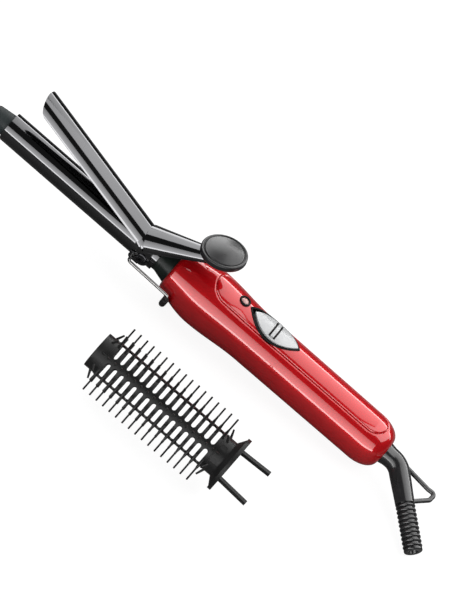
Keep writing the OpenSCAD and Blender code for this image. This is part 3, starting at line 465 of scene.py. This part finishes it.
# ---- cord guard: smooth elbow, ribbed end and hanging loop -------------------------------------
GUARD_CORNER, GUARD_DROOP = 10.5, math.radians(11)
GUARD_BEND, GUARD_BEND_R = math.radians(47), 12.0
GUARD_R, ELBOW_R, ELBOW_END_R = 7.2, 6.4, 5.9
GUARD_SIDES = 56
BEND_T = GUARD_BEND_R * math.tan(GUARD_BEND / 2)    # from the bend's corner to where it starts
GUARD_SMOOTH = 21.5
RIB_FROM = BEND_T + GUARD_SMOOTH
RIBS, RIB_PITCH, RIB_SHARE, RIB_ROOT_R, RIB_RISE = 10, 2.8, 0.72, 4.7, 1.2
GUARD_TO = RIB_FROM + 29.86
CORD_R, CORD_DEPTH = 2.8, 24.0
BENT_WAY = np.array([math.cos(GUARD_BEND), math.sin(GUARD_BEND), 0])
BENT_SIDE = np.array([math.sin(GUARD_BEND), -math.cos(GUARD_BEND), 0])


def bend_frame(p):
    """Frame of the guard's bend: X on along the handle, Y sideways in the bend's plane."""
    c, s = math.cos(GUARD_DROOP), math.sin(GUARD_DROOP)
    return np.stack([HANDLE_END + GUARD_CORNER + p[:, 0], -c * p[:, 1] - s * p[:, 2],
                     -s * p[:, 1] + c * p[:, 2]], axis=-1)


def guard_elbow():
    before = np.linspace(-GUARD_CORNER - 6, -BEND_T - 0.4, 14)
    bend = np.linspace(0, GUARD_BEND, 15)
    after = np.linspace(BEND_T + 1, RIB_FROM - 0.4, 14)
    line = [[x, 0, 0] for x in before]
    line += [[-BEND_T + GUARD_BEND_R * math.sin(a), GUARD_BEND_R * (1 - math.cos(a)), 0] for a in bend]
    line += [far * BENT_WAY for far in after]
    radii = [GUARD_R - (GUARD_R - ELBOW_R) * ease((x + GUARD_CORNER + 1) / 6.0) for x in before]
    radii += [ELBOW_R] * len(bend)
    radii += [ELBOW_R - (ELBOW_R - ELBOW_END_R) * ease((far - BEND_T) / GUARD_SMOOTH) for far in after]
    return tube(line, radii, GUARD_SIDES)


def guard_ribs():
    """Ribbed end with its lip and the cord's bore."""
    steps = 12
    outline = [(0.01, RIB_FROM - 1.5), (RIB_ROOT_R, RIB_FROM - 1.5)]
    for i in range(RIBS):
        for k in range(steps + 1):
            rise = RIB_RISE * math.sqrt(math.sin(math.pi * k / steps)) if 0 < k < steps else 0
            outline.append((RIB_ROOT_R + rise, RIB_FROM + RIB_PITCH * (i + 0.14 + RIB_SHARE * k / steps)))
    end = GUARD_TO
    outline += [(RIB_ROOT_R, end - 1.8), (5.6, end - 1.5), (5.6, end - 0.5), (5.45, end - 0.2),
                (5.1, end), (CORD_R + 0.15, end), (CORD_R, end - 0.15), (CORD_R, end - CORD_DEPTH),
                (0.01, end - CORD_DEPTH)]
    p, faces = revolve(outline, GUARD_SIDES)
    return p[:, :1] * BENT_WAY - p[:, 1:2] * BENT_SIDE + p[:, 2:] * [0, 0, 1], faces


def hanging_loop():
    start, tip = np.array([-3, -3.2, 0]), np.array([28, 0.2, 0])
    foot = (RIB_FROM - 2.5) * BENT_WAY + 3.6 * BENT_SIDE
    far = tip + [0.2, 4.8, 0]
    strand = [start + (tip - start) * k for k in np.linspace(0, 0.86, 8)]
    strand += rounded(start, tip + [0.6, -0.6, 0], far, 2.2)
    strand += rounded(tip, far, foot, 2.2)
    strand += [foot + (strand[-1] - foot) * k for k in (0.6, 0.3, 0)]
    return tube(strand, 1.45, 24)


def guard():
    points, faces = joined(guard_elbow(), guard_ribs(), hanging_loop())
    piece("ribbed_cord_guard", iron(bend_frame(points)), faces, GUARD, "iron", "cord_guard", sharp=50)


guard()


# ---- stand: one bent wire ------------------------------------------------------------------
STAND_X, STAND_DROP, STAND_HINGE_W = PIVOT_X - 5.2, 4.5, 15.5
FOOT_X, FOOT_R, FOOT_FLAT_HALF = HANDLE_X + 8.7, 20.0, math.radians(18)


def foot_bend(degrees):
    """Point of the foot's bend round the handle, from its side towards its underside."""
    a = math.radians(degrees)
    return np.array([FOOT_X, FOOT_R * math.cos(a), -FOOT_R * math.sin(a)])


def stand():
    corner = np.array([STAND_X, STAND_HINGE_W, -STAND_DROP])
    half = [np.array([STAND_X, y, -STAND_DROP]) for y in (9.8, 11.5, 12.6)]
    half += rounded([STAND_X, 0, -STAND_DROP], corner, foot_bend(4), 2.4, 12)
    half += rounded(corner, foot_bend(4), foot_bend(14), 1.6, 8)
    half += [foot_bend(a) for a in np.linspace(12, 72, 22)]
    half += [np.array([FOOT_X, FOOT_R * math.sin(FOOT_FLAT_HALF) - 3, -FOOT_R * math.cos(FOOT_FLAT_HALF)])]
    other = [p * [1, -1, 1] for p in half[::-1]]
    points, faces = tube(half + other, 1.0, 24)
    piece("bent_stand_wire", iron(points), faces, STEEL, "stand", "stand_wire", sharp=60)


stand()


# ---- clamp: the CAD pressing and spring, with the tongue's end drawn as a half round -------------
CLAMP_OPEN, CLAMP_WRAP = math.radians(16.3), math.radians(142)
NOSE, NOSE_CURVE = 9.0, 1.7


def clamp_pressing():
    """The nose of the tongue is set back towards its sides, on an even curve."""
    along = math.cos(CLAMP_OPEN) * ALONG - math.sin(CLAMP_OPEN) * OVER
    over = math.sin(CLAMP_OPEN) * ALONG + math.cos(CLAMP_OPEN) * OVER
    mesh = NODES["clamp"].data.copy()
    mesh.name = "clamp_pressing"
    # where each point is when the clamp is shut, in mm from the barrel's front
    p = mesh_points(mesh) - HINGE
    base = (HINGE - FRONT) / MM
    x = p @ along / MM + base @ ALONG
    z = p @ over / MM + base @ OVER
    turn = np.abs(np.arctan2(p[:, 1] / MM, z)) / (CLAMP_WRAP / 2)
    set_back = x.min() + NOSE * (1 - np.clip(1 - turn ** NOSE_CURVE, 0, 1) ** (1 / NOSE_CURVE))
    for i in np.nonzero((x < x.min() + NOSE) & (x < set_back))[0]:
        mesh.vertices[i].co += Vector(along * (set_back[i] - x[i]) * MM)
    o = linked("clamp_pressing", mesh)
    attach(o, "clamp")
    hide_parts("clamp")


def torsion_spring():
    """A copy of the spring in place of the CAD node, left where it lies."""
    mesh = NODES["clamp_spring"].data.copy()
    mesh.name = "torsion_spring"
    p = mesh_points(mesh)
    coil, leg_end = np.median(p, axis=0), p[p[:, 2].argmax()]
    o = linked("torsion_spring", mesh)
    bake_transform(o)
    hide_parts("clamp_spring")


clamp_pressing()
torsion_spring()


# ---- small trim ------------------------------------------------------------------------------
def thumb_disc():
    """Domed disc inside a rounded lip, with a fine groove between them; recessed below round its boss."""
    pts = mesh_points(NODES["thumb_rest"].data)
    middle = pts.mean(axis=0)
    axis = np.linalg.svd(pts - middle, full_matrices=False)[2][2]
    axis = axis if axis[2] > 0 else -axis
    base = middle + axis * ((pts - middle) @ axis).min()
    u = unit(np.cross(axis, ACROSS))
    v = np.cross(axis, u)
    under = [(0.01, 0.02), (6.5, 0.02), (6.5, 2.0), (12.0, 2.0), (12.0, 0.02), (13.3, 0.02),
             (14.1, 0.42), (14.46, 1.2)]
    lip = [(13.56 + 0.9 * math.cos(a), 3.35 + 0.9 * math.sin(a)) for a in np.radians(range(0, 121, 12))]
    groove = [(12.95, 3.72), (12.75, 3.58), (12.55, 3.66)]
    edge = [(11.4 + 1.1 * math.cos(a), 3.6 + 1.0 * math.sin(a)) for a in np.radians(range(10, 80, 12))]
    dome = [(10.9 * k, 4.62 + 1.12 * (1 - k * k)) for k in np.linspace(1, 0.001, 14)]
    p, faces = revolve(under + lip + groove + edge + dome, 96)
    p = base + (p[:, :1] * axis + p[:, 1:2] * u + p[:, 2:] * v) * MM
    piece("thumb_disc", p, faces, THUMB, "clamp", "thumb_rest", sharp=60)


def lamp_bezel():
    top = float(handle_r(LAMP_AT)) + 0.3
    ring = [(HANDLE_X + LAMP_AT + LAMP_R * math.cos(a), LAMP_R * math.sin(a), top)
            for a in np.linspace(0, 2 * math.pi, 49)]
    points, faces = tube(ring, 0.62, 14)
    piece("lamp_bezel", iron(points), faces, PITCH, "iron")


def switch_outline():
    """A bead along both sides of the switch's well."""
    at = np.linspace(-WELL_LEN / 2, WELL_LEN / 2, 60)
    x = WELL_AT + at
    y = np.sqrt(WELL_ARC ** 2 - at ** 2) - WELL_ARC_Y
    z = np.sqrt(handle_r(x) ** 2 - y ** 2)
    sides = [tube(np.column_stack([HANDLE_X + x, side * y, z]), 0.5, 14) for side in (-1, 1)]
    points, faces = joined(*sides)
    piece("switch_outline", iron(points), faces, PITCH, "iron")


def rib_painted_shadow_band():
    """A dark band under the slider's rib, bent over the slider's crown; its edges show at both sides of
    the rib as painted shadow lines.
    """
    crown = float(handle_r(LEAF_AT)) + LEAF_PROUD
    half_width, lift, sink = 2.35, 0.08, 0.3
    corners = ((half_width, lift), (half_width, -sink), (-half_width, -sink), (-half_width, lift))
    ys = np.linspace(-7.0, 7.0, 29)
    points = [(HANDLE_X + LEAF_AT + across, (crown + out) * math.sin(y / crown),
               (crown + out) * math.cos(y / crown)) for y in ys for across, out in corners]
    piece("rib_painted_shadow_band", iron(points), closed(len(ys), len(corners)), PITCH, "switch", sharp=40)


def brush_seam():
    """A fine bead where the brush's barrel meets its hub."""
    barrel = mesh_points(NODES["brush_barrel"].data)
    ring_middle = mesh_points(NODES["brush_ring"].data).mean(axis=0)
    hub_middle = mesh_points(NODES["brush_hub"].data).mean(axis=0)
    middle = (barrel.max(axis=0) + barrel.min(axis=0)) / 2
    axis = np.linalg.svd(barrel - barrel.mean(axis=0), full_matrices=False)[2][0]
    axis = axis if axis @ (hub_middle - ring_middle) > 0 else -axis
    along = (barrel - middle) @ axis
    r = np.linalg.norm(barrel - middle - along[:, None] * axis, axis=1).max()
    u = unit(np.cross(axis, [0, 0, 1]))
    v = np.cross(axis, u)
    at = middle + axis * along.max()
    path = [(at + r * (u * math.cos(a) + v * math.sin(a))) / MM for a in np.linspace(0, 2 * math.pi, 61)]
    points, faces = tube(path, 0.4, 10)
    piece("brush_seam", points * MM, faces, BRUSH, "iron")


thumb_disc()
lamp_bezel()
switch_outline()
rib_painted_shadow_band()
brush_seam()


# ---- floor and light ---------------------------------------------------------------------------
def panel(name, x, y, z, look):
    """A rectangle between two values of x and two of y."""
    mesh = bpy.data.meshes.new(name)
    mesh.from_pydata([(x[0], y[0], z), (x[1], y[0], z), (x[1], y[1], z), (x[0], y[1], z)],
                     [], [(0, 1, 2, 3)])
    mesh.materials.append(look)
    return linked(name, mesh)


def paper():
    """Pale paper: the camera sees it nearly white, with the object's shadow left on it."""
    m, t = new_look("pale_paper")
    t.nodes.remove(t.nodes["Principled BSDF"])
    matt = new_node(t, "BsdfDiffuse", Color=(0.14, 0.14, 0.14, 1))
    glow = new_node(t, "Emission", Color=(0.91, 0.91, 0.91, 1), Strength=1.0)
    none = new_node(t, "Emission", Strength=0.0)
    path = new_node(t, "LightPath")
    choose = new_node(t, "MixShader")
    both = new_node(t, "AddShader")
    links(t, (path.outputs["Is Camera Ray"], choose.inputs[0]),
          (none.outputs[0], choose.inputs[1]), (glow.outputs[0], choose.inputs[2]),
          (matt.outputs[0], both.inputs[0]), (choose.outputs[0], both.inputs[1]),
          (both.outputs[0], t.nodes["Material Output"].inputs["Surface"]))
    return m


def glowing(name, brightness):
    """Light that runs from one brightness to another along the panel's Y."""
    m, t = new_look(name)
    t.nodes.remove(t.nodes["Principled BSDF"])
    glow = new_node(t, "Emission")
    place = new_node(t, "TexCoord")
    split = new_node(t, "SeparateXYZ")
    fade = new_node(t, "MapRange", To_Min=brightness[0], To_Max=brightness[1])
    links(t, (place.outputs["Generated"], split.inputs[0]), (split.outputs["Y"], fade.inputs["Value"]),
          (fade.outputs["Result"], glow.inputs["Strength"]),
          (glow.outputs[0], t.nodes["Material Output"].inputs["Surface"]))
    return m


def softbox(name, angle, spread, distance, reach, brightness):
    """A glowing panel that only reflections and surfaces see. angle is where it stands, from straight up
    towards the camera, and spread is the angle that it fills. reach is its two ends along the iron.
    brightness is its two edges', the one on the camera's side first."""
    a = math.radians(angle)
    half = distance * math.tan(math.radians(spread / 2))
    along = Vector((1, 0, 0))
    back = Vector((0, -math.sin(a), math.cos(a)))
    o = panel(name, reach, (-half, half), 0, glowing(name, brightness))
    o.matrix_world = axes(along, back.cross(along), back, Vector((0, 0, 0.02)) + back * distance)
    o.visible_camera = False
    o.visible_shadow = False


floor = panel("floor", (-6, 6), (-6, 6), -0.0002, paper())

world = bpy.data.worlds.new("studio")
world.use_nodes = True
background = world.node_tree.nodes["Background"]
background.inputs["Color"].default_value = (0.05, 0.05, 0.05, 1)
background.inputs["Strength"].default_value = 1.0
bpy.context.scene.world = world

softbox("front_box", 68, 33, 0.80, (-0.8, 0.8), (3.1, 1.5))
softbox("front_edge", 86.5, 7, 0.78, (-0.8, 0.8), (6.4, 6.4))
softbox("back_box", -24, 62, 0.80, (-0.19, 0.24), (1.5, 2.5))
softbox("tongue_box", -17, 76, 0.80, (0.24, 1.2), (2.4, 2.7))
softbox("back_edge", -57.5, 6, 0.78, (-0.19, 1.2), (6.6, 6.6))
softbox("lever_box", -24, 62, 0.80, (-1.3, -0.47), (2.3, 2.8))
softbox("disc_box", -60, 36, 0.80, (-0.55, -0.2), (2.0, 6.0))

# the brush's bristles stay out of the handle's gloss
for node in ("brush_ring", "brush_barrel", "brush_bristles", "brush_hub"):
    NODES[node].visible_glossy = False
